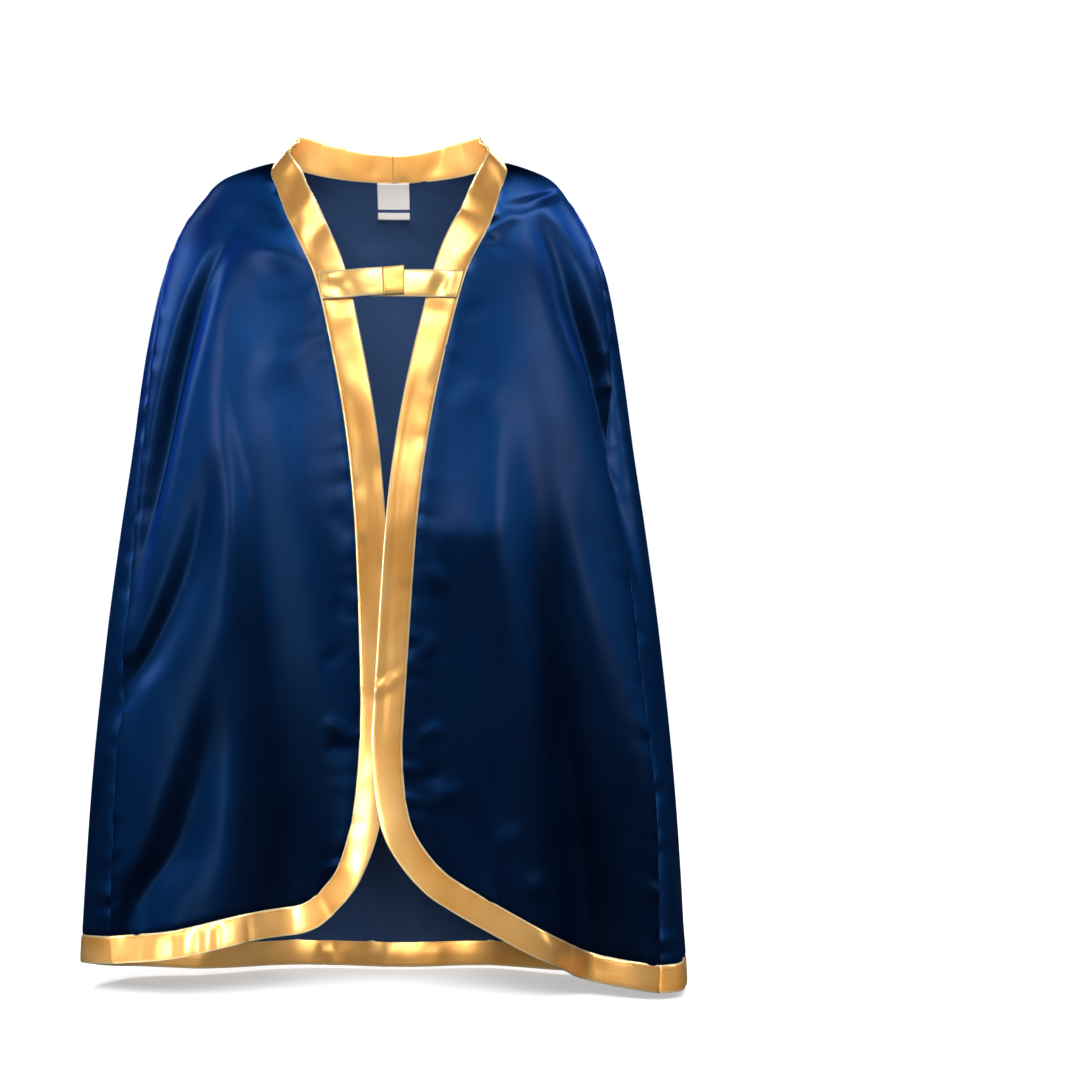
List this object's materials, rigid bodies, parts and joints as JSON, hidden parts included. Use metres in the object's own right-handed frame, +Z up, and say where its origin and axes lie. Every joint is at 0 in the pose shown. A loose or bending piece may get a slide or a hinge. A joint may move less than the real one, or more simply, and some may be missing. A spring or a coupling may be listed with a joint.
{
  "type": "child's knight cape",
  "caption": "Child's satin cape with banded edges, an open front with rounded lower corners and a chest strap, hanging hollow as from a wearer's shoulders.",
  "frame": {"origin": "middle of the neck opening, level with the tops of the shoulders, where the wearer's neck and shoulders hold the cape up", "axes": "+Z up, the wearer faces -Y, +X is the wearer's left"},
  "size_m": [0.4975, 0.2468, 0.7002],
  "materials": {
    "blue_satin": "polyester satin, soft sheen outside and duller inside",
    "gold_satin": "polyester satin, bright sheen",
    "white_tape": "smooth woven tape"
  },
  "bodies": {
    "root": {"back_panel": "blue_satin", "front_panel_left": "blue_satin", "front_panel_right": "blue_satin", "edge_band_left": "gold_satin", "edge_band_right": "gold_satin", "hem_band_back": "gold_satin", "strap_left": "gold_satin", "strap_right": "gold_satin", "neck_label": "white_tape"}
  },
  "joints": []
}
